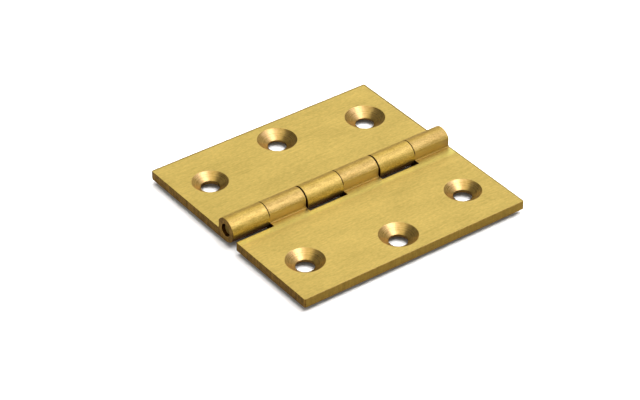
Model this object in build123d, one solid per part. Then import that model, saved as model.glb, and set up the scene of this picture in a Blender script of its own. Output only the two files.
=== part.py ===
from build123d import *
import os
from math import radians, sqrt, tan

# A solid drawn brass butt hinge, lying open and flat with its screw sinks up.
# X runs across the leaves, Y along the pin and Z up from the backs of the leaves.
# The origin is on the back plane, halfway along the pin and straight under it.

# Leaves
hinge_length = 63.5
leaf_reach = 31.0
leaf_thickness = 2.3
corner_radius = 0.4
edge_break = 0.1

# Knuckles, shared out in turn between the two leaves
knuckle_count = 6
barrel_radius = 3.1
knuckle_seam = 0.25
flank_depth = 0.35
root_fillet = 0.4
slot_clearance = 1.3

# How far the right leaf has slid along the pin towards -Y, within the play of its seams
end_play = 0.1

# Pin, held tight in the left leaf and free to turn in the right one
pin_radius = 1.6
pin_recess = 0.85
pin_end_chamfer = 0.25
grip_clearance = 0.01
running_clearance = 0.05

# Screw holes, placed from the leaf's free edge and ends: the middle one is further out
screw_hole_radius = 2.3
sink_angle = 110.0
outer_hole_inset = 11.9
middle_hole_inset = 7.05
hole_end_margin = 8.8

# The radius of each sink's rim, from the -Y end of the hinge to the +Y end.
# They were cut by hand feed, so no two are quite as deep.
left_sink_radii = (4.45, 4.9, 5.0)
right_sink_radii = (4.7, 4.75, 4.55)

# Worked out from the sizes above
pin_height = barrel_radius
flank_offset = barrel_radius - flank_depth
slot_reach = barrel_radius + slot_clearance
knuckle_pitch = (hinge_length + knuckle_seam) / knuckle_count
knuckle_length = knuckle_pitch - knuckle_seam
flank_top = pin_height + sqrt(barrel_radius**2 - flank_offset**2)
root_radius = min(root_fillet, 0.8 * (flank_top - leaf_thickness))
hole_spread = hinge_length / 2 - hole_end_margin

# Two places closer than this are the same place
same_place = 0.01


def span(low_x, high_x, low_z, high_z):
    """A rectangle of the cross section, given by its sides."""
    size = Rectangle(high_x - low_x, high_z - low_z)
    return Pos((low_x + high_x) / 2, (low_z + high_z) / 2) * size


def leaf_section():
    """The drawn section of the left leaf: a plate whose knuckle has one straight flank."""
    top = pin_height + barrel_radius
    barrel = Pos(0, pin_height) * Circle(barrel_radius)
    barrel &= span(-flank_offset, barrel_radius, 0, top)
    foot = span(-flank_offset, 0, 0, pin_height)
    plate = span(-leaf_reach, 0, 0, leaf_thickness)
    section = barrel + foot + plate
    root = section.vertices().sort_by_distance((-flank_offset, leaf_thickness))[0]
    return Plane.XZ * fillet(root, root_radius)


def knuckle_start(index):
    """Where a knuckle begins along the pin, counted from the -Y end."""
    return -hinge_length / 2 + index * knuckle_pitch


def relief_slot(index):
    """The slot that lets a knuckle of the other leaf turn, with its seams."""
    length = knuckle_length + 2 * knuckle_seam
    middle = knuckle_start(index) + knuckle_length / 2
    width = slot_reach + 2 * barrel_radius
    height = 4 * barrel_radius
    return Pos(width / 2 - slot_reach, middle, pin_height) * Box(width, length, height)


def pin_bore(clearance):
    """The bore that runs through all the knuckles of a leaf."""
    turned = Rot(90, 0, 0) * Cylinder(pin_radius + clearance, 2 * hinge_length)
    return Pos(0, 0, pin_height) * turned


def screw_hole(x, y, rim_radius):
    """A plain hole with a conical sink from the top face."""
    drop = (rim_radius - screw_hole_radius) / tan(radians(sink_angle / 2))
    drill = Pos(x, y, leaf_thickness / 2) * Cylinder(screw_hole_radius, 2 * leaf_thickness)
    cone = Cone(screw_hole_radius, rim_radius, drop)
    return drill + Pos(x, y, leaf_thickness - drop / 2) * cone


def screw_holes(sink_radii):
    """The three holes of a leaf, with the middle one further from the pin."""
    insets = (outer_hole_inset, middle_hole_inset, outer_hole_inset)
    places = (-hole_spread, 0, hole_spread)
    return [screw_hole(inset - leaf_reach, y, rim) for inset, y, rim in zip(insets, places, sink_radii)]


def outer_corners(leaf):
    """The two upright edges at the leaf's free corners."""
    upright = leaf.edges().filter_by(Axis.Z)
    return upright.filter_by(lambda edge: edge.center().X < -leaf_reach + same_place)


def worked_edges(leaf):
    """The edges that a file would break: round the knuckle ends, the plate and the slot backs."""
    across = leaf.edges().filter_by(lambda edge: edge.bounding_box().size.Y < same_place)
    upright = across.filter_by(Axis.Z).filter_by(lambda edge: edge.center().X < -slot_reach + same_place)
    slot_backs = leaf.edges().filter_by(lambda edge: abs(edge.center().X + slot_reach) < same_place)
    return across - upright + slot_backs.filter_by(Axis.Y)


def make_leaf(first_knuckle, clearance, sink_radii):
    """A leaf with the knuckles first_knuckle, first_knuckle + 2 and so on, free edge at -X."""
    leaf = extrude(leaf_section(), hinge_length / 2, both=True)
    for index in range(1 - first_knuckle, knuckle_count, 2):
        leaf -= relief_slot(index)
    leaf = fillet(outer_corners(leaf), corner_radius)
    leaf = chamfer(worked_edges(leaf), edge_break)
    leaf -= pin_bore(clearance)
    for hole in screw_holes(sink_radii):
        leaf -= hole
    return leaf


def make_left_leaf():
    """The leaf at -X, which holds the pin and the first knuckle at the -Y end."""
    return make_leaf(0, grip_clearance, left_sink_radii)


def make_right_leaf():
    """The leaf at +X: the same section mirrored, with the other knuckles."""
    leaf = mirror(make_leaf(1, running_clearance, right_sink_radii), Plane.YZ)
    return Pos(0, -end_play, 0) * leaf


def make_pin():
    """The pin, a little shorter than the barrel, with its ends chamfered."""
    pin = Rot(90, 0, 0) * Cylinder(pin_radius, hinge_length - 2 * pin_recess)
    pin = chamfer(pin.edges().filter_by(GeomType.CIRCLE), pin_end_chamfer)
    return Pos(0, 0, pin_height) * pin


nodes = {
    "left_leaf": make_left_leaf,
    "right_leaf": make_right_leaf,
    "hinge_pin": make_pin,
}

os.makedirs("parts", exist_ok=True)
for name, make in nodes.items():
    export_step(make(), f"parts/{name}.step")
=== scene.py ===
# %% [markdown]
# # A solid drawn brass butt hinge
#
# A butt hinge is two leaves and a pin. Each leaf is cut from one long drawn bar of brass, whose
# section already has the flat plate and the round knuckle in one piece. This lesson makes the
# leaves in Blender in the order in which a workshop makes them: draw the section, pull it to
# length, mill the slots, break the edges, ream the bore and sink the screw holes. Every cutting
# tool is a small mesh of its own, and it leaves its own finish on the brass that it cuts.

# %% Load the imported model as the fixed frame
from math import cos, hypot, pi, radians, sin, tan

import bmesh
import bpy
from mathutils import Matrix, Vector


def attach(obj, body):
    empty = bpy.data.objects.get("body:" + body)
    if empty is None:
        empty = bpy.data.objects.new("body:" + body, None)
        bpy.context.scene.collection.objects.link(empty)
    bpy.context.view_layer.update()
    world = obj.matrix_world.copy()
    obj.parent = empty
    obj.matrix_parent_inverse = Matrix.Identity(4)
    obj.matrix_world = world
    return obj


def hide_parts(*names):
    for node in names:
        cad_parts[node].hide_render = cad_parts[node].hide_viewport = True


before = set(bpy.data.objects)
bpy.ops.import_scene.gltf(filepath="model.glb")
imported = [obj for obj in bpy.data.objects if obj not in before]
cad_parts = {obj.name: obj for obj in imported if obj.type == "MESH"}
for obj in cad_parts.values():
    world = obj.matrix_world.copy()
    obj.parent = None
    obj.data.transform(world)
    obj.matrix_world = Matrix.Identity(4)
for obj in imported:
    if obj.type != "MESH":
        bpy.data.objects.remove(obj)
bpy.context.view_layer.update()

# %% [markdown]
# ## The camera
#
# The hinge lies open on a table and is seen from above one corner, through a long lens. The
# camera could be placed by eye, but a place worked out from an azimuth, an elevation and a
# distance is easier to check, and each of the three can be corrected by itself. The lens is
# long, so the edges of the leaves stay nearly parallel.

# %% Which way the camera stands from the hinge
camera_azimuth = radians(53.57)
camera_elevation = radians(35.71)

backwards = Vector((
    sin(camera_azimuth) * cos(camera_elevation),
    -cos(camera_azimuth) * cos(camera_elevation),
    sin(camera_elevation),
))
rightwards = Vector((cos(camera_azimuth), sin(camera_azimuth), 0))
upwards = backwards.cross(rightwards)
print("camera stands towards", [round(v, 4) for v in backwards])

# %% Its distance, aim and lens
camera_distance = 0.61106
aim_right, aim_up = -0.003858, -0.001533
sensor_width, lens_length = 36, 145.59
nearest_seen, farthest_seen = 0.01, 20

aim = rightwards * aim_right + upwards * aim_up
camera = bpy.data.objects.new("camera", bpy.data.cameras.new("camera"))
bpy.context.scene.collection.objects.link(camera)
camera.data.sensor_width, camera.data.lens = sensor_width, lens_length
camera.data.clip_start, camera.data.clip_end = nearest_seen, farthest_seen
camera.location = aim + backwards * camera_distance
camera.rotation_euler = (-backwards).to_track_quat("-Z", "Y").to_euler()
bpy.context.scene.camera = camera
print("camera at", [round(v, 4) for v in camera.location])

# %% [markdown]
# ## Two floors
#
# The hinge lies on a plain white table. One white plane would do for the eye, but satin brass
# mirrors what it lies on, and a white table would wash out the brown of the leaves' edges. So
# there are two planes: a white one that the camera sees, and a grey one that only the brass sees.
# Both lie a little below the hinge, so that some light gets under it and its shadow stays soft.

# %% A matt plane under the hinge
floor_size = 6


def matt_paint(name, colour):
    """A paint with no shine, for what isn't part of the hinge."""
    paint = bpy.data.materials.new(name)
    paint.use_nodes = True
    shader = paint.node_tree.nodes["Principled BSDF"]
    shader.inputs["Base Color"].default_value = (*colour, 1)
    shader.inputs["Roughness"].default_value = 1
    shader.inputs["Specular IOR Level"].default_value = 0
    return paint


def floor_plane(name, height, colour):
    """A wide plane at a height, marked as stage."""
    bpy.ops.object.select_all(action="DESELECT")
    bpy.ops.mesh.primitive_plane_add(size=floor_size, location=(0, 0, height))
    plane = bpy.context.object
    plane.name = name
    plane.data.materials.append(matt_paint(name, colour))
    print(name, "at", round(height, 5))
    return plane


# %% A white floor for the eye, a grey one for the brass
floor_gap = 0.00115
between_floors = 0.00002
table_white = (0.875, 0.867, 0.862)
table_grey = (0.195, 0.168, 0.145)

floor = floor_plane("white floor", -floor_gap, table_white)
floor.visible_glossy = False
mirrored_floor = floor_plane("floor that the brass mirrors", between_floors - floor_gap, table_grey)
mirrored_floor.visible_camera = False
mirrored_floor.visible_diffuse = False
mirrored_floor.visible_shadow = False

# %% [markdown]
# ## Soft boxes
#
# Satin metal has little colour of its own in the dark: it shows the lamps that stand around it.
# One set of lamps can't give both the brass and the floor what they need, so there are two sets.
# A wide lamp overhead and a faint dome light the floor alone: they make it white and lay a short
# soft shadow round the hinge. The other boxes are seen by the brass alone. Each is placed by the
# direction that its light comes from, because that is what decides which face mirrors it.

# %% One soft box
light_distance = 1.2


def soft_box(name, direction, half_angle, brightness, colour=(1, 1, 1), for_floor=False):
    """A round soft light facing the hinge: how wide it looks from there and how bright it is."""
    light = bpy.data.lights.new(name, "AREA")
    light.shape = "DISK"
    light.color = colour
    light.size = 2 * light_distance * tan(radians(half_angle))
    light.energy = brightness * pi * (light.size / 2) ** 2 * pi
    box = bpy.data.objects.new(name, light)
    bpy.context.scene.collection.objects.link(box)
    towards = Vector(direction).normalized()
    box.location = towards * light_distance
    box.rotation_euler = towards.to_track_quat("Z", "Y").to_euler()
    box.visible_glossy = not for_floor
    box.visible_diffuse = for_floor
    print(name, round(light.size, 2), "m across,", round(light.energy, 2), "W")
    return box


# %% The lamps of the floor
faintly_warm = (1.0, 0.97, 0.94)
soft_box("floor lamp", (-0.13, 0.46, 1.0), half_angle=39, brightness=5.2, for_floor=True)
soft_box("floor dome", (0.0, 0.0, 1.0), half_angle=74, brightness=0.58, colour=faintly_warm, for_floor=True)

# %% [markdown]
# ## What the brass mirrors
#
# A flat leaf mirrors what stands beyond it, as high up as the camera: there the back light gives
# both leaves their even tone. One large box could do for all, but the barrel is round and mirrors
# each box as a stripe along the pin, so its look is built stripe by stripe. A small bright box
# makes the narrow highlight, a wider and dimmer one beside it makes the soft shoulder, and the
# others lift the edges and the walls of the sinks.

# %% The lamps of the brass
cool_white = (1.0, 1.0, 1.9)
warm_white = (1.0, 0.99, 0.87)
soft_box("high light", (0.48, 0.22, 0.85), half_angle=15, brightness=4.3, colour=cool_white)
soft_box("high light spread", (0.00, 0.38, 0.93), half_angle=28, brightness=1.08, colour=cool_white)
soft_box("low front light", (0.28, -0.40, 0.87), half_angle=25, brightness=1.0)
soft_box("back light", (-0.66, 0.53, 0.54), half_angle=28, brightness=1.07, colour=warm_white)
soft_box("far side light", (0.10, 0.95, 0.25), half_angle=30, brightness=0.24)
soft_box("front light", (0.35, -0.87, 0.33), half_angle=42, brightness=0.75)
soft_box("low left light", (-0.80, -0.58, 0.12), half_angle=24, brightness=0.32)
soft_box("right light", (0.82, 0.45, 0.34), half_angle=28, brightness=0.60)

# %% A faint glow from everywhere else
studio_glow = 0.09
world = bpy.data.worlds.new("studio")
world.use_nodes = True
world.node_tree.nodes["Background"].inputs["Color"].default_value = (1, 1, 1, 1)
world.node_tree.nodes["Background"].inputs["Strength"].default_value = studio_glow
bpy.context.scene.world = world
bpy.context.scene.view_settings.view_transform = "Standard"
print("glow of the studio", studio_glow)

# %% [markdown]
# ## Working by code as by hand
#
# Edit mode works on what is selected. By hand one clicks on it; in a script it is picked by its
# place. The helpers below do that. A part could be picked by its number in the mesh too, but the
# numbers change with every operator, and a place stays true. Everything is modelled at one unit
# to the millimetre, as on a workshop drawing, and brought down to metres at the end.

# %% One object at a time
millimetre = 0.001


def work_on(piece):
    """Makes one object the only one selected."""
    bpy.ops.object.select_all(action="DESELECT")
    piece.select_set(True)
    bpy.context.view_layer.objects.active = piece


def fix_place(piece):
    """Puts an object's place, turn and size into its mesh."""
    work_on(piece)
    bpy.ops.object.transform_apply(location=True, rotation=True, scale=True)


def edit(piece, kind):
    """Enters edit mode on a piece, picking by VERT, EDGE or FACE."""
    work_on(piece)
    bpy.ops.object.mode_set(mode="EDIT")
    bpy.ops.mesh.select_mode(type=kind)
    bpy.ops.mesh.select_all(action="DESELECT")


def leave_edit():
    """Goes back to object mode, which writes the work to the mesh."""
    bpy.ops.object.mode_set(mode="OBJECT")


print("one millimetre is", millimetre, "m")

# %% Picking parts by their place
near = 0.02     # two places closer than this are the same place


def pick(piece, kind, wanted):
    """Selects the parts of a mesh for which wanted(part) is true, and returns how many."""
    mesh = bmesh.from_edit_mesh(piece.data)
    parts = {"VERT": mesh.verts, "EDGE": mesh.edges, "FACE": mesh.faces}[kind]
    chosen = [part for part in parts if wanted(part)]
    bpy.ops.mesh.select_all(action="DESELECT")
    for part in chosen:
        part.select_set(True)
    mesh.select_flush_mode()
    bmesh.update_edit_mesh(piece.data)
    return len(chosen)


def middle(edge):
    """The point halfway along an edge."""
    return (edge.verts[0].co + edge.verts[1].co) / 2


print("places are told apart from", near, "mm")

# %% [markdown]
# ## The drawn bar
#
# The section of the bar is a plate with a knuckle whose one side is milled flat. It could be a
# cylinder and a box joined by a Boolean, but drawing it as one outline, the way the die does,
# leaves no seam and gives the root a true fillet. So it starts as a circle, loses the quarter
# where the plate joins and the sliver past the flank, and the outline then goes on down the
# flank, along the plate and back underneath. Filled and pulled along Y, it is the bar.

# %% The sizes of the bar, in millimetres
hinge_length = 63.5
leaf_reach = 31.0
leaf_thickness = 2.3
barrel_radius = 3.1
flank_offset = 2.75
root_fillet = 0.4
barrel_sides = 120
fillet_steps = 8
along_pin = (radians(90), 0, 0)
print("bar", hinge_length, "long,", leaf_thickness, "thick and", 2 * barrel_radius, "over the knuckle")


# %% The outline of the section
def draw_knuckle(name):
    """The round of the knuckle as an open outline, from under the pin round to the flank's top."""
    bpy.ops.object.select_all(action="DESELECT")
    bpy.ops.mesh.primitive_circle_add(
        vertices=barrel_sides, radius=barrel_radius,
        location=(0, -hinge_length / 2, barrel_radius), rotation=along_pin,
    )
    bar = bpy.context.object
    bar.name = name
    fix_place(bar)
    edit(bar, "VERT")
    pick(bar, "VERT", lambda v: v.co.x < -near and v.co.z < barrel_radius - near)
    bpy.ops.mesh.delete(type="VERT")
    bpy.ops.mesh.select_all(action="SELECT")
    bpy.ops.mesh.bisect(plane_co=(-flank_offset, 0, 0), plane_no=(1, 0, 0), clear_inner=True)
    leave_edit()
    return bar


def draw_plate(bar):
    """Goes on from the flank's top: down the flank, out to the free edge, down it and back."""
    edit(bar, "VERT")
    pick(bar, "VERT", lambda v: v.co.x < -flank_offset + near)
    flank_top = max(v.co.z for v in bmesh.from_edit_mesh(bar.data).verts if v.select)
    print("the flank of the", bar.name, "bar starts at a height of", round(flank_top, 3))
    down_flank = (0, 0, leaf_thickness - flank_top)
    to_free_edge = (flank_offset - leaf_reach, 0, 0)
    down_free_edge = (0, 0, -leaf_thickness)
    for step in (down_flank, to_free_edge, down_free_edge):
        bpy.ops.mesh.extrude_vertices_move(TRANSFORM_OT_translate={"value": step})
    pick(bar, "VERT", lambda v: v.co.z < near and (v.co.x < near - leaf_reach or abs(v.co.x) < near))
    bpy.ops.mesh.edge_face_add()
    pick(bar, "VERT", lambda v: hypot(v.co.x + flank_offset, v.co.z - leaf_thickness) < near)
    bpy.ops.mesh.bevel(offset=root_fillet, segments=fillet_steps, affect="VERTICES")
    leave_edit()


# %% The outline pulled to length
def drawn_bar(name):
    """The bar for a leaf that has its free edge at -X."""
    bar = draw_knuckle(name)
    draw_plate(bar)
    edit(bar, "VERT")
    bpy.ops.mesh.select_all(action="SELECT")
    bpy.ops.mesh.edge_face_add()
    bpy.ops.mesh.extrude_region_move(TRANSFORM_OT_translate={"value": (0, hinge_length, 0)})
    bpy.ops.mesh.select_all(action="SELECT")
    bpy.ops.mesh.normals_make_consistent(inside=False)
    leave_edit()
    print(name, "bar has", len(bar.data.polygons), "faces")
    return bar


# %% [markdown]
# ## Finishes
#
# A finish is a small network of shader nodes. It could be wired by hand, node by node, but written
# as sums in Python it reads like a recipe. So one class wraps a node's output and lets it be
# added, subtracted and multiplied, and one method of the other class adds any other node.

# %% A node's output that can be used in sums
class Field:
    """A value that changes over the surface."""

    def __init__(self, finish, socket):
        self.finish, self.socket = finish, socket

    def _sum(self, operation, first, second):
        return self.finish.node("Math", {"operation": operation}, {0: first, 1: second})

    def __add__(self, other):
        return self._sum("ADD", self, other)

    def __sub__(self, other):
        return self._sum("SUBTRACT", self, other)

    def __rsub__(self, other):
        return self._sum("SUBTRACT", other, self)

    def __mul__(self, other):
        return self._sum("MULTIPLY", self, other)

    __radd__ = __add__
    __rmul__ = __mul__


# %% A material built from fields
class Finish:
    """A metal whose nodes are added one after another."""

    def __init__(self, name):
        self.material = bpy.data.materials.new(name)
        self.material.use_nodes = True
        self.nodes = self.material.node_tree.nodes
        self.links = self.material.node_tree.links
        self.shader = self.nodes["Principled BSDF"]

    def put(self, socket, value):
        """Links a field to a socket, or sets a plain number or colour on it."""
        if isinstance(value, Field):
            self.links.new(value.socket, socket)
        elif isinstance(value, tuple) and socket.type == "RGBA":
            socket.default_value = (*value, 1)
        else:
            socket.default_value = value

    def node(self, kind, settings, sockets, output=0):
        """Adds a node: its settings first, then the values or links of its sockets."""
        node = self.nodes.new("ShaderNode" + kind)
        for name, value in settings.items():
            setattr(node, name, value)
        for name, value in sockets.items():
            self.put(node.inputs[name], value)
        return Field(self, node.outputs[output])

    def mix(self, amount, first, second):
        """A colour between two colours. The Mix node has its colours at sockets 6 and 7."""
        return self.node("Mix", {"data_type": "RGBA"}, {0: amount, 6: first, 7: second}, output=2)

    def wear(self, colour, roughness, relief, depth):
        """Feeds the metal shader: its colour, its roughness, and a relief of a depth in millimetres."""
        self.put(self.shader.inputs["Base Color"], colour)
        self.put(self.shader.inputs["Roughness"], roughness)
        self.put(self.shader.inputs["Metallic"], 1.0)
        sockets = {"Strength": 1.0, "Distance": depth * millimetre, "Height": relief}
        self.put(self.shader.inputs["Normal"], self.node("Bump", {}, sockets, "Normal"))
        print(self.material.name, "has", len(self.nodes), "nodes")
        return self.material


finishes = {}

# %% [markdown]
# ## Marks and tones
#
# What tells one brass face from another is its marks: grain, specks, scratches and cloudiness.
# They could be painted, but noise stretched by a size along X, Y and Z makes them without an
# image, and at their true scale. Weighed and added, the noises give one tone, which then picks
# the colour, the roughness and the relief together, as real marks do.

# %% Noise at a size in millimetres
def place(finish):
    """Where a point is on the piece, in metres."""
    return finish.node("TexCoord", {}, {}, output="Object")


def marks(finish, size, detail=2.0):
    """Even noise from 0 to 1 whose blots have the given size in millimetres along X, Y and Z."""
    scale = tuple(1 / (millimetre * s) for s in size)
    stretched = finish.node("VectorMath", {"operation": "MULTIPLY"}, {0: place(finish), 1: scale})
    return finish.node("TexNoise", {}, {"Vector": stretched, "Scale": 1.0, "Detail": detail})


# %% Noises weighed into one tone, and a value that follows it
halfway = 0.5


def tone_of(*layers, contrast):
    """Adds pairs of noise and weight into a tone that swings evenly about a half."""
    total = -halfway * sum(weight for noise, weight in layers)
    for noise, weight in layers:
        total = total + noise * weight
    return total * contrast + halfway


def between(amount, first, last):
    """Goes from the first value to the last as an amount goes from 0 to 1."""
    return amount * (last - first) + first


# %% [markdown]
# ## Masks by place
#
# Polish, dirt and shade don't stop at the border of a face, and the shade painted here doesn't
# either: the barrel is painted darker underneath, and the root is painted dark. Such a change could
# be a material of its own, but then it would end in a hard line. A mask worked out from the
# distance to a place fades instead.

# %% Masks that fade with distance, all in millimetres
def along(finish, axis):
    """A point's place along X, Y or Z, in millimetres."""
    return finish.node("SeparateXYZ", {}, {0: place(finish)}, output=axis) * (1 / millimetre)


def fading(finish, distance, reach, fade):
    """From 1 at no distance to 0 at the reach, fading over the last stretch."""
    settings = {"operation": "MULTIPLY_ADD", "use_clamp": True}
    return finish.node("Math", settings, {0: distance, 1: -1 / fade, 2: reach / fade})


def low_down(finish, height, fade):
    """From 1 low on the piece to 0 at a height."""
    return fading(finish, along(finish, "Z"), height, fade)


def strip(finish, middle_x, half_width, fade):
    """From 1 along a line beside the pin to 0 at half the strip's width from it."""
    aside = finish.node("Math", {"operation": "ABSOLUTE"}, {0: along(finish, "X") - middle_x})
    return fading(finish, aside, half_width, fade)


def far_rim(finish, reach, fade):
    """From 1 on the outlines at -X and +Y to 0 at the reach inside them."""
    inside_x = along(finish, "X") + leaf_reach
    inside_y = hinge_length / 2 - along(finish, "Y")
    inside = finish.node("Math", {"operation": "MINIMUM"}, {0: inside_x, 1: inside_y})
    return fading(finish, inside, reach, fade)


# %% [markdown]
# ## Linished flats
#
# The flat faces are linished: drawn along a fine belt, which leaves short specks and long fine
# lines along the pin, and a faint cloudiness where the belt pressed harder. Beside the barrel a
# brighter strip is painted on the top face, a painted reflection of the barrel's highlight, and
# the outlines at the far side are painted brown as painted shade. Both could be left to the lamps,
# but a lamp that reaches the strip reaches the flank beside it too, so they are painted into the
# brass colour here.

# %% Linished brass
deep_brass, bright_brass = (0.45, 0.33, 0.078), (0.735, 0.535, 0.138)
# The painted highlight beside the barrel, brighter than brass is, stands in for its reflection.
deep_painted_highlight, bright_painted_highlight = (0.70, 0.61, 0.155), (1.0, 0.92, 0.25)
# Painted shade along the far outlines of the leaves.
painted_rim_shade = (0.20, 0.125, 0.03)
rim_reach, rim_fade = 0.60, 0.45
strip_middle, strip_half_width, strip_fade = 4.8, 1.7, 1.2
painted_highlight_strength = 0.62
under_strip, under_strip_fade = 1.6, 0.8


def linished_finish(name):
    """Flat faces, drawn along a fine belt."""
    finish = Finish(name)
    speck = marks(finish, size=(0.40, 0.9, 0.40), detail=3.0)
    line = marks(finish, size=(0.4, 7, 0.4))
    cloud = marks(finish, size=(7, 12, 7))
    tone = tone_of((speck, 0.65), (line, 0.4), (cloud, 0.45), contrast=1.7)
    # A brighter strip beside the barrel, on the top face only: a painted highlight.
    highlight_strip_mask = strip(finish, strip_middle, strip_half_width, strip_fade)
    on_top = 1 - low_down(finish, under_strip, under_strip_fade)
    colour = finish.mix(tone, deep_brass, bright_brass)
    painted_highlight_colour = finish.mix(tone, deep_painted_highlight, bright_painted_highlight)
    colour = finish.mix(highlight_strip_mask * on_top * painted_highlight_strength, colour, painted_highlight_colour)
    # The far outlines painted brown: painted shade.
    colour = finish.mix(far_rim(finish, rim_reach, rim_fade), colour, painted_rim_shade)
    return finish.wear(colour, roughness=between(tone, 0.31, 0.41), relief=speck + line, depth=0.006)


finishes["linished"] = linished_finish("linished brass")

# %% [markdown]
# ## The rubbed barrel
#
# The barrel is round, so it was rubbed by hand: its specks are shorter and deeper, there are
# scratches along it, and slow unevenness breaks the highlight. A darker streak along the top and
# a darker underside are painted shade. The near leaf's knuckles get a copy with their colours
# painted for how the light falls on them: a little browner, and painted lighter low down. The
# lamps could do that, but as colour that fades by place it is there from every side. One function
# makes both sets of knuckles, with its colours handed in.

# %% Rubbed brass
# Painted shade under the left leaf's knuckles, painted light under the right leaf's.
painted_underside_top, painted_underside_fade = 2.7, 0.9
painted_underside_strength = (1.15, 0.75)     # where the tone is dark, and where it is bright
# A streak of painted shade along the top of the barrel.
streak_middle, streak_half_width, streak_fade = -0.55, 0.9, 0.8
streak_strength = (0.9, 0.4)
painted_streak_shade = (0.40, 0.24, 0.045)


def rubbed_finish(name, dark, bright, painted_underside):
    """The barrel, rubbed across and along by hand."""
    finish = Finish(name)
    speck = marks(finish, size=(0.3, 0.45, 0.3), detail=3.0)
    scratch = marks(finish, size=(0.3, 2.2, 0.3), detail=3.0)
    uneven = marks(finish, size=(1.2, 3.0, 1.2))
    tone = tone_of((speck, 0.7), (scratch, 0.5), (uneven, 0.4), contrast=2.2)
    # Low down the colour turns to the painted underside colour, and along the top to the painted shade
    # streak.
    below = low_down(finish, painted_underside_top, painted_underside_fade) * between(tone, *painted_underside_strength)
    streak = strip(finish, streak_middle, streak_half_width, streak_fade) * between(tone, *streak_strength)
    colour = finish.mix(tone, dark, bright)
    colour = finish.mix(below, colour, painted_underside)
    colour = finish.mix(streak, colour, painted_streak_shade)
    return finish.wear(colour, roughness=between(tone, 0.42, 0.52), relief=speck + scratch, depth=0.02)


finishes["rubbed"] = rubbed_finish(
    "rubbed brass", dark=(0.47, 0.30, 0.045), bright=(0.80, 0.59, 0.120), painted_underside=(0.25, 0.11, 0.015)
)
# The right leaf's knuckles: a copy with colours painted for how the light falls on them, lighter low down.
finishes["rubbed_painted_light"] = rubbed_finish(
    "scuffed brass", dark=(0.43, 0.27, 0.045), bright=(0.76, 0.55, 0.128), painted_underside=(0.55, 0.38, 0.075)
)

# %% [markdown]
# ## Sawn, drawn and milled edges
#
# The ends of the bar were sawn, its free edge keeps the skin that the die left, and the slots were
# milled. All three are duller than the flats, with marks that run up the edge, so one function
# makes them. They differ in colour, from the yellow drawn edge to the milled walls of the slots,
# which are painted dark brown as shade, and in how strong the marks are. The cut end of the pin's
# wire and its bore are alike; the bore is painted nearly black as shade.

# %% Edges left by saw, die and cutter
def edge_finish(name, dark, bright, contrast=2.0, roughness=(0.36, 0.51)):
    """An edge with marks that run up it."""
    finish = Finish(name)
    mark = marks(finish, size=(0.35, 0.35, 3.0))
    cloud = marks(finish, size=(1.2, 1.2, 0.5), detail=3.0)
    tone = tone_of((mark, 0.8), (cloud, 0.5), contrast=contrast)
    colour = finish.mix(tone, dark, bright)
    return finish.wear(colour, roughness=between(tone, *roughness), relief=mark, depth=0.008)


finishes["drawn"] = edge_finish("drawn brass", (0.44, 0.31, 0.06), (0.64, 0.46, 0.10))
finishes["sawn"] = edge_finish("sawn brass", (0.185, 0.105, 0.02), (0.54, 0.35, 0.083), contrast=2.4)
# The slot walls and knuckle ends: painted shade, dark brown.
finishes["milled"] = edge_finish("milled brass", (0.14, 0.045, 0.005), (0.28, 0.12, 0.018))
# Inside the bore: painted shade, nearly black.
finishes["bore"] = edge_finish("dark bore", (0.05, 0.02, 0.003), (0.12, 0.055, 0.01))
finishes["wire"] = edge_finish("cut wire", (0.26, 0.18, 0.045), (0.52, 0.38, 0.12), roughness=(0.6, 0.75))

# %% [markdown]
# ## The milled flank
#
# Where a knuckle stands on its leaf, a cutter took off the round and left an upright flank. It is
# calmer than the barrel, and painted shade makes it a little browner towards the leaf. Along the
# root runs a thin dark line of painted shade. It could be modelled as a groove, but the root has a
# fillet, so a mask darkens it that fades within about a tenth of a millimetre.

# %% Flank brass
# The tone rises with height: painted shade low on the flank, lighter higher up.
flank_middle = 2.9       # the height in millimetres where the tone is halfway
flank_climb = 0.6        # how much the tone rises with each millimetre
flank_scratch = 1.5      # how strongly the scratches change it
# A thin line of painted shade in the root.
root_height, root_fade = 2.64, 0.12
painted_root_shade = (0.305, 0.19, 0.022)


def flank_finish(name, dark, bright):
    """An upright flat painted lighter upwards, with a line of painted shade in its root."""
    finish = Finish(name)
    mark = marks(finish, size=(0.3, 2.5, 0.3), detail=3.0)
    tone = (along(finish, "Z") - flank_middle) * flank_climb + (mark - halfway) * flank_scratch
    colour = finish.mix(tone, dark, bright)
    colour = finish.mix(low_down(finish, root_height, root_fade), colour, painted_root_shade)
    return finish.wear(colour, roughness=between(mark, 0.38, 0.58), relief=mark, depth=0.02)


finishes["flank"] = flank_finish("milled flank", (0.53, 0.36, 0.10), (0.55, 0.41, 0.135))

# %% [markdown]
# ## Turned sinks and drilled walls
#
# A sinking cutter turns as it is fed, so it leaves fine rings round the hole. Rings could be made
# by a wave texture, but theirs are all alike. Here each vertex keeps its distance from the hole's
# axis, and noise along that one distance gives rings that are as uneven as a real tool's.

# %% Turned brass
rings_per_millimetre = 7.0


def turned_finish(name, bright, dark, roughness):
    """A turned wall: rings at the distance from the hole's axis, kept on the mesh as from_axis."""
    finish = Finish(name)
    distance = finish.node("Attribute", {"attribute_name": "from_axis"}, {}, output="Fac")
    sockets = {"W": distance * rings_per_millimetre, "Scale": 1.0, "Detail": 3.0}
    ring = finish.node("TexNoise", {"noise_dimensions": "1D"}, sockets)
    cloud = marks(finish, size=(0.8, 0.8, 0.8))
    tone = tone_of((ring, 0.9), (cloud, 0.4), contrast=2.2)
    colour = finish.mix(tone, dark, bright)
    return finish.wear(colour, roughness=between(tone, *roughness), relief=ring, depth=0.02)


finishes["turned"] = turned_finish(
    "turned brass", bright=(0.80, 0.54, 0.145), dark=(0.48, 0.29, 0.055), roughness=(0.27, 0.39)
)
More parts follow.
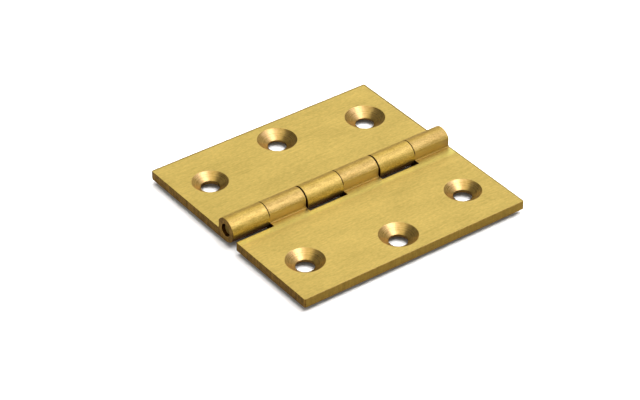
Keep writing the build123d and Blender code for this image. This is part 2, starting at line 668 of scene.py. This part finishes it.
# The drilled walls deep in the holes are painted darker, as shade.
finishes["drilled"] = turned_finish(
    "drilled brass", bright=(0.40, 0.26, 0.08), dark=(0.24, 0.14, 0.04), roughness=(0.36, 0.48)
)

# %% [markdown]
# ## Milling the slots
#
# Every second knuckle is milled away, so that the other leaf's knuckle can turn there. The slot
# could be made by deleting faces, but a cutter that is taken away leaves closed, square walls, and
# with its material transferred they also get the milled finish.

# %% A cut with any cutter
def cut(piece, cutter, finish):
    """Takes a cutter away from a piece. The new walls wear the finish that the cutter leaves."""
    cutter.data.materials.append(finishes[finish])
    work_on(piece)
    step = piece.modifiers.new("cut", "BOOLEAN")
    step.operation, step.solver, step.object = "DIFFERENCE", "EXACT", cutter
    step.material_mode = "TRANSFER"
    bpy.ops.object.modifier_apply(modifier=step.name)
    bpy.data.objects.remove(cutter)
    print(piece.name, finish, "cut leaves", len(piece.data.polygons), "faces")


def block(low, high):
    """A cutter that fills the space between two corners."""
    bpy.ops.object.select_all(action="DESELECT")
    bpy.ops.mesh.primitive_cube_add(size=1, location=(Vector(low) + Vector(high)) / 2)
    cutter = bpy.context.object
    cutter.scale = Vector(high) - Vector(low)
    fix_place(cutter)
    return cutter


# %% Where the knuckles lie, and the slots between them
knuckle_count = 6
knuckle_seam = 0.25
slot_reach = 4.4
overrun = 1.0     # how far a cutter goes on past the leaf's back
knuckle_pitch = (hinge_length + knuckle_seam) / knuckle_count
knuckle_length = knuckle_pitch - knuckle_seam


def mill_slots(leaf, first_knuckle):
    """Mills a slot for every knuckle of the other leaf, seams included."""
    for index in range(1 - first_knuckle, knuckle_count, 2):
        start = -hinge_length / 2 + index * knuckle_pitch - knuckle_seam
        end = start + knuckle_length + 2 * knuckle_seam
        low = (-slot_reach, start, -overrun)
        high = (2 * barrel_radius, end, 4 * barrel_radius)
        cut(leaf, block(low, high), "milled")


print("knuckles", round(knuckle_length, 3), "long at every", round(knuckle_pitch, 3))

# %% [markdown]
# ## Breaking the edges
#
# A file takes the sharpness off the corners. On a picture of this size that is under half a pixel,
# yet without it a metal edge looks like paper, because no edge catches the light. A Bevel modifier
# would round the free corners as little as the rest, so the operator is used twice: those corners
# get a larger radius first, and then three narrow steps go round all sharp edges.

# %% Corners and edges
corner_radius, corner_steps = 0.4, 8
edge_break, edge_steps = 0.08, 3
sharp_from = radians(32)


def sharp(edge):
    """Says whether two faces meet at an edge at a real angle, more than those of a round."""
    return len(edge.link_faces) == 2 and edge.calc_face_angle() > sharp_from


def upright(edge):
    """Says whether an edge runs straight up."""
    first, second = (vertex.co for vertex in edge.verts)
    return hypot(first.x - second.x, first.y - second.y) < near


def break_edges(leaf):
    """Rounds the two free corners, then breaks every sharp edge."""
    edit(leaf, "EDGE")
    corners = pick(leaf, "EDGE", lambda e: upright(e) and middle(e).x < near - leaf_reach)
    bpy.ops.mesh.bevel(offset=corner_radius, segments=corner_steps, affect="EDGES")
    edges = pick(leaf, "EDGE", sharp)
    bpy.ops.mesh.bevel(offset=edge_break, segments=edge_steps, affect="EDGES", clamp_overlap=True)
    leave_edit()
    print(leaf.name, "corners", corners, "sharp edges", edges)


# %% [markdown]
# ## The bore
#
# The bore is reamed through all the knuckles at once. Each knuckle could be drilled by itself, but
# one long rod keeps them in line, as the real reamer does. The mouths could be left square, but a
# reamed hole always has its burr taken off, and that narrow bevel draws the bright ring in the
# barrel's end.

# %% The reamer
pin_radius = 1.6
bore_sides = 96
mouth_search = 0.1     # how far from the pin's radius the edges of a mouth may lie
mouth_break, mouth_steps = 0.15, 2


def rod(radius, length, sides):
    """A round bar along the pin's line."""
    bpy.ops.object.select_all(action="DESELECT")
    bpy.ops.mesh.primitive_cylinder_add(
        vertices=sides, radius=radius, depth=length, location=(0, 0, barrel_radius), rotation=along_pin
    )
    bar = bpy.context.object
    fix_place(bar)
    return bar


def on_mouth(edge):
    """Says whether an edge lies on a mouth of the bore."""
    crosswise = abs(edge.verts[0].co.y - edge.verts[1].co.y) < near
    from_pin = hypot(middle(edge).x, middle(edge).z - barrel_radius)
    return crosswise and abs(from_pin - pin_radius) < mouth_search


def ream_bore(leaf, clearance):
    """Reams the knuckles for the pin and takes the burr off the mouths."""
    cut(leaf, rod(pin_radius + clearance, 2 * hinge_length, bore_sides), "milled")
    edit(leaf, "EDGE")
    mouths = pick(leaf, "EDGE", on_mouth)
    bpy.ops.mesh.bevel(offset=mouth_break, segments=mouth_steps, affect="EDGES")
    leave_edit()
    print(leaf.name, "bore mouth edges", mouths)


# %% [markdown]
# ## The screw holes
#
# The screw holes are drilled and then sunk with a pointed cutter that is fed by hand, so their
# rims differ a little. Drill and sink could be two cuts, but one cutter with both leaves a cleaner
# line where they meet: a cylinder whose top face is pushed up and widened, just like the real tool.

# %% Where the holes are
screw_hole_radius = 2.3
outer_hole_inset, middle_hole_inset = 11.9, 7.05
hole_end_margin = 8.8
hole_spread = hinge_length / 2 - hole_end_margin
hole_places = (
    (outer_hole_inset - leaf_reach, -hole_spread),
    (middle_hole_inset - leaf_reach, 0),
    (outer_hole_inset - leaf_reach, hole_spread),
)
print("holes at", [(round(x, 2), round(y, 2)) for x, y in hole_places])

# %% The sinking cutter
sink_angle = radians(110)
hole_sides = 96
above_leaf = 1.5     # how far the cutter's cone goes on above the top face
squarely = 0.9       # a normal with this much of one direction faces it squarely


def sinking_cutter(x, y, rim_radius):
    """A drill with a cone above it, whose cone meets the leaf's top face at the rim's radius."""
    drop = (rim_radius - screw_hole_radius) / tan(sink_angle / 2)
    land = leaf_thickness - drop
    bpy.ops.object.select_all(action="DESELECT")
    bpy.ops.mesh.primitive_cylinder_add(
        vertices=hole_sides, radius=screw_hole_radius, depth=land + overrun,
        location=(x, y, (land - overrun) / 2),
    )
    cutter = bpy.context.object
    fix_place(cutter)
    edit(cutter, "FACE")
    pick(cutter, "FACE", lambda f: f.normal.z > squarely)
    widened = (rim_radius + above_leaf * tan(sink_angle / 2)) / screw_hole_radius
    bpy.ops.mesh.extrude_region_move(TRANSFORM_OT_translate={"value": (0, 0, drop + above_leaf)})
    cone_top = (x, y, leaf_thickness + above_leaf)
    bpy.ops.transform.resize(value=(widened, widened, 1), center_override=cone_top)
    leave_edit()
    return cutter


# %% Three sunk holes, with the burr taken off
rim_search = 0.06     # how far from a rim's radius its edges may lie
rim_break, rim_steps = 0.05, 2


def on_a_rim(edge, rims):
    """Says whether an edge lies on one of the rims, each given as its place and radius."""
    point = middle(edge)
    return abs(point.z - leaf_thickness) < near and any(
        abs(hypot(point.x - x, point.y - y) - radius) < rim_search for (x, y), radius in rims
    )


def sink_holes(leaf, sink_radii):
    """Drills and sinks the three screw holes and takes the burr off their rims."""
    rims = list(zip(hole_places, sink_radii))
    for (x, y), radius in rims:
        cut(leaf, sinking_cutter(x, y, radius), "turned")
    edit(leaf, "EDGE")
    edges = pick(leaf, "EDGE", lambda e: on_a_rim(e, rims))
    bpy.ops.mesh.bevel(offset=rim_break, segments=rim_steps, affect="EDGES")
    leave_edit()
    print(leaf.name, "rim edges", edges)


# %% [markdown]
# ## Faces get their finish by place
#
# The cut walls already wear what their cutter left. The bar's own faces still need theirs: flats,
# barrel, flank, sawn ends and drawn edge. They could be picked by hand, but a rule that looks at
# where a face lies and which way it looks still works when a size changes.

# %% The finish of one face
facing, partly_facing = 0.5, 0.2          # how much of a normal looks one way
upright_wall, flat_top = 0.1, 0.98        # how much of a normal looks up
bore_skin, mouth_skin = 0.08, 0.3         # how far from the pin's radius their faces lie
barrel_skin = 0.06                        # how far from the barrel's radius its faces lie
edge_strip = 0.3                          # how far in the free edge's broken strip reaches
flank_skin, flank_reach = 0.45, 1.5       # how far beside it and above the pin the flank goes


def finish_of(centre, normal, cut_finish, barrel_finish):
    """Names a face's finish from its centre, its normal and the cut that made it, if one did."""
    x, y, z = centre
    from_pin = hypot(x, z - barrel_radius)
    past_flank = x > near - flank_offset or z > barrel_radius
    on_barrel = abs(from_pin - barrel_radius) < barrel_skin and past_flank
    beside_flank = abs(x + flank_offset) < flank_skin
    above_root = leaf_thickness + near < z < barrel_radius + flank_reach
    if cut_finish == "turned":
        return "drilled" if abs(normal.z) < upright_wall else "turned"
    if cut_finish == "milled":
        return "bore" if from_pin < pin_radius + bore_skin else "milled"
    if abs(from_pin - pin_radius) < mouth_skin:
        return "turned"
    if abs(normal.y) > partly_facing:
        return "sawn"
    if partly_facing < normal.z < flat_top and x < edge_strip - leaf_reach:
        return "sawn"
    if normal.x < -facing and x < near - leaf_reach:
        return "drawn"
    if beside_flank and above_root and not on_barrel:
        return "flank"
    if on_barrel and x > -flank_offset - near:
        return barrel_finish
    return "linished"


# %% The finish of every face
leaf_finishes = (
    "linished", "rubbed", "drawn", "sawn", "milled", "turned", "drilled", "flank", "bore", "rubbed_painted_light",
)


def paint_leaf(leaf, barrel_finish):
    """Gives each face its finish. Both leaves have the same list of materials."""
    name_of = {material.name: name for name, material in finishes.items()}
    cuts = [name_of[slot.name] if slot else None for slot in leaf.data.materials]
    names = [
        finish_of(face.center, face.normal, cuts[face.material_index], barrel_finish)
        for face in leaf.data.polygons
    ]
    leaf.data.materials.clear()
    for name in leaf_finishes:
        leaf.data.materials.append(finishes[name])
    for face, name in zip(leaf.data.polygons, names):
        face.material_index = leaf_finishes.index(name)
    print(leaf.name, "wears", {name: names.count(name) for name in leaf_finishes})


# %% [markdown]
# ## A whole leaf
#
# With every tool at hand a leaf is a few calls, in the workshop's order. The right leaf could be
# modelled on its own side of the pin, but both are cut from the same bar: it is made like the
# left one, free edge at -X, and mirrored over the pin at the end. Each vertex also keeps how far
# it is from its screw hole's axis, which the turned finish reads for its rings.

# %% The steps of a leaf
def note_axis_distance(piece, places):
    """Stores on each vertex how far it is from the nearest screw hole's axis, in millimetres."""
    note = piece.data.attributes.new("from_axis", "FLOAT", "POINT")
    for vertex, row in zip(piece.data.vertices, note.data):
        row.value = min(hypot(vertex.co.x - x, vertex.co.y - y) for x, y in places)


def make_leaf(name, first_knuckle, clearance, sink_radii, barrel_finish):
    """A leaf with its free edge at -X and the knuckles first_knuckle, first_knuckle + 2 and so on."""
    leaf = drawn_bar(name)
    mill_slots(leaf, first_knuckle)
    break_edges(leaf)
    ream_bore(leaf, clearance)
    sink_holes(leaf, sink_radii)
    paint_leaf(leaf, barrel_finish)
    note_axis_distance(leaf, hole_places)
    return leaf


# %% [markdown]
# ## Smooth rounds, flat flats
#
# A round of flat facets must look round, and a real edge must stay crisp. Smooth shading alone
# would bend the light on the large flats near their bevels. So edges over an angle stay sharp, and
# the Weighted Normal modifier lets the largest face decide where faces meet smoothly.

# %% From the drawing to the real size
flat_faces_first = 100


def to_metres(piece, flip=1, slide=0.0):
    """Brings a piece from millimetres to metres, mirrored over the pin where flip is -1."""
    piece.scale = (flip * millimetre, millimetre, millimetre)
    piece.location = (0, slide * millimetre, 0)
    fix_place(piece)
    edit(piece, "FACE")
    bpy.ops.mesh.select_all(action="SELECT")
    bpy.ops.mesh.normals_make_consistent(inside=False)
    leave_edit()


def soften(piece):
    """Smooth shading that keeps real edges crisp and the large flat faces truly flat."""
    work_on(piece)
    bpy.ops.object.shade_smooth_by_angle(angle=sharp_from, keep_sharp_edges=True)
    step = piece.modifiers.new("flat faces first", "WEIGHTED_NORMAL")
    step.keep_sharp, step.weight = True, flat_faces_first
    bpy.ops.object.modifier_apply(modifier=step.name)
    print(piece.name, len(piece.data.vertices), "vertices")


# %% [markdown]
# ## The left leaf
#
# This leaf holds the pin tight, and it has the first knuckle at the near end. Its three sinks
# could be copies of one, but the real ones were fed to different depths by hand, so the radii of
# their rims differ by up to half a millimetre, and each is cut by itself.

# %% The left leaf
grip_clearance = 0.01
left_sink_radii = (4.45, 4.9, 5.0)

left = make_leaf("left_leaf_brass", 0, grip_clearance, left_sink_radii, "rubbed")
to_metres(left)
soften(left)
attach(left, "fixed_leaf")
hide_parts("left_leaf")

# %% [markdown]
# ## The right leaf
#
# The same bar with the other three knuckles, mirrored over the pin. It turns on the pin with a
# little clearance, and it has slid a tenth of a millimetre towards the near end, so the seams
# beside its knuckles are not alike. The slide could be left out, but it is what makes every
# second seam look darker.

# %% The right leaf
running_clearance = 0.05
end_play = 0.1
right_sink_radii = (4.7, 4.75, 4.55)

right = make_leaf("right_leaf_brass", 1, running_clearance, right_sink_radii, "rubbed_painted_light")
to_metres(right, flip=-1, slide=-end_play)
soften(right)
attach(right, "swinging_leaf")
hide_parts("right_leaf")

# %% [markdown]
# ## The pin
#
# The pin is a piece of drawn wire, cut off, chamfered and driven in until it sits a little below
# the face of the end knuckle. It could be spun from its profile, but a rod whose end edges are
# bevelled in three steps has the same rounded chamfer, and only that end is seen.

# %% The pin
pin_recess = 0.85
pin_end_chamfer, chamfer_steps = 0.25, 3


def make_pin(name):
    """A wire with chamfered ends."""
    pin = rod(pin_radius, hinge_length - 2 * pin_recess, bore_sides)
    pin.name = name
    edit(pin, "FACE")
    pick(pin, "FACE", lambda f: abs(f.normal.y) > squarely)
    bpy.ops.mesh.select_mode(type="EDGE")
    bpy.ops.mesh.bevel(offset=pin_end_chamfer, segments=chamfer_steps, affect="EDGES")
    leave_edit()
    pin.data.materials.append(finishes["wire"])
    return pin


pin = make_pin("hinge_pin_brass")
to_metres(pin)
soften(pin)
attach(pin, "fixed_leaf")
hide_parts("hinge_pin")
